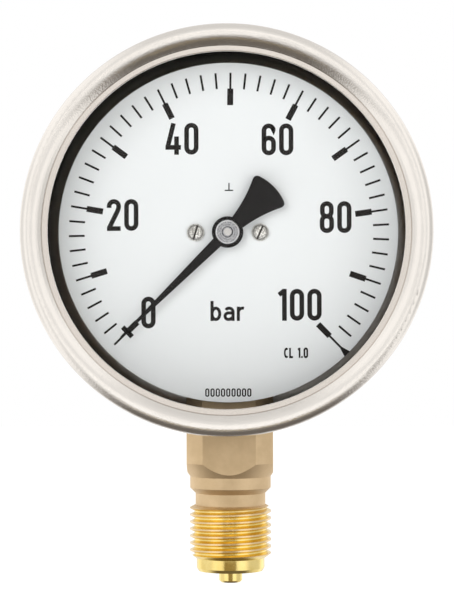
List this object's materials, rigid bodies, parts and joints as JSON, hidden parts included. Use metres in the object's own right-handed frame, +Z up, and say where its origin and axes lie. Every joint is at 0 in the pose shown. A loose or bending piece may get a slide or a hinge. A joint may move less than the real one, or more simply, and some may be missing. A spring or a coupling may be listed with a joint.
{
  "type": "pressure gauge",
  "caption": "Round dial pressure gauge with a stainless case and bezel ring, bourdon tube movement and a lower brass parallel-thread connection.",
  "frame": {"origin": "centre of the flat sealing face at the lower end of the threaded connection, on the stem axis", "axes": "+Z up along the stem axis to the case, -Y out of the front of the dial, +X to the viewer's right"},
  "size_m": [0.101, 0.051, 0.14],
  "materials": {
    "brass": "turned, matt",
    "movement_brass": "bright drawn",
    "tube_bronze": "drawn, heat tinted",
    "case_steel": "natural stainless, brushed",
    "ring_steel": "natural stainless, turned and polished",
    "movement_steel": "fine turned",
    "screw_steel": "plain",
    "spring_bronze": "rolled strip",
    "glass": "clear",
    "rubber": "matt",
    "dial_white": "matt white",
    "pointer_black": "satin black",
    "hub_aluminium": "fine turned"
  },
  "bodies": {
    "housing": {"stem": "brass", "restrictor_screw": "movement_brass", "case": "case_steel", "bezel_ring": "ring_steel", "window": "glass", "window_gasket": "rubber", "stem_gasket": "rubber", "case_screws": "screw_steel", "blowout_plug": "rubber", "bourdon_tube": "tube_bronze", "movement_back_plate": "movement_brass", "movement_front_plate": "movement_brass", "movement_pillars": "movement_brass", "movement_mount_screws": "screw_steel", "movement_plate_screw": "screw_steel", "dial_posts": "movement_brass", "hairspring": "spring_bronze", "hairspring_stud": "movement_brass", "dial": "dial_white", "dial_screws": "screw_steel"},
    "tube_tip": {"tube_end_piece": "movement_brass", "tip_pivot_screw": "screw_steel"},
    "link_arm": {"link": "movement_steel"},
    "sector": {"sector_gear": "movement_brass", "sector_arbor": "movement_steel", "tail_pin": "movement_steel"},
    "pointer": {"pinion_arbor": "movement_steel", "hairspring_collet": "movement_brass", "pointer_blade": "pointer_black", "pointer_hub": "hub_aluminium"}
  },
  "joints": [
    {"name": "pointer_spin", "type": "hinge", "parent": "housing", "child": "pointer", "pos_m": [0, 0, 0.0865], "axis": [0, 1, 0], "range_deg": [0, 270], "stiffness_Nm_per_rad": 0.005, "deforming": ["hairspring"]},
    {"name": "sector_swing", "type": "hinge", "parent": "housing", "child": "sector", "pos_m": [0, 0, 0.0649], "axis": [0, 1, 0], "range_deg": [-33.75, 0]},
    {"name": "tube_flex", "type": "hinge", "parent": "housing", "child": "tube_tip", "pos_m": [-0.00218, 0, 0.09409], "axis": [0, 1, 0], "range_deg": [-6.8, 0], "deforming": ["bourdon_tube"]},
    {"name": "link_swing", "type": "hinge", "parent": "tube_tip", "child": "link_arm", "pos_m": [0.02157, -0.0068, 0.06638], "axis": [0, 1, 0], "range_deg": [0, 2.83]}
  ],
  "couplings": [
    {"joint": "sector_swing", "follows": "pointer_spin", "ratio": -0.125},
    {"joint": "tube_flex", "follows": "pointer_spin", "ratio": -0.025148},
    {"joint": "link_swing", "follows": "pointer_spin", "ratio": 0.010444}
  ]
}
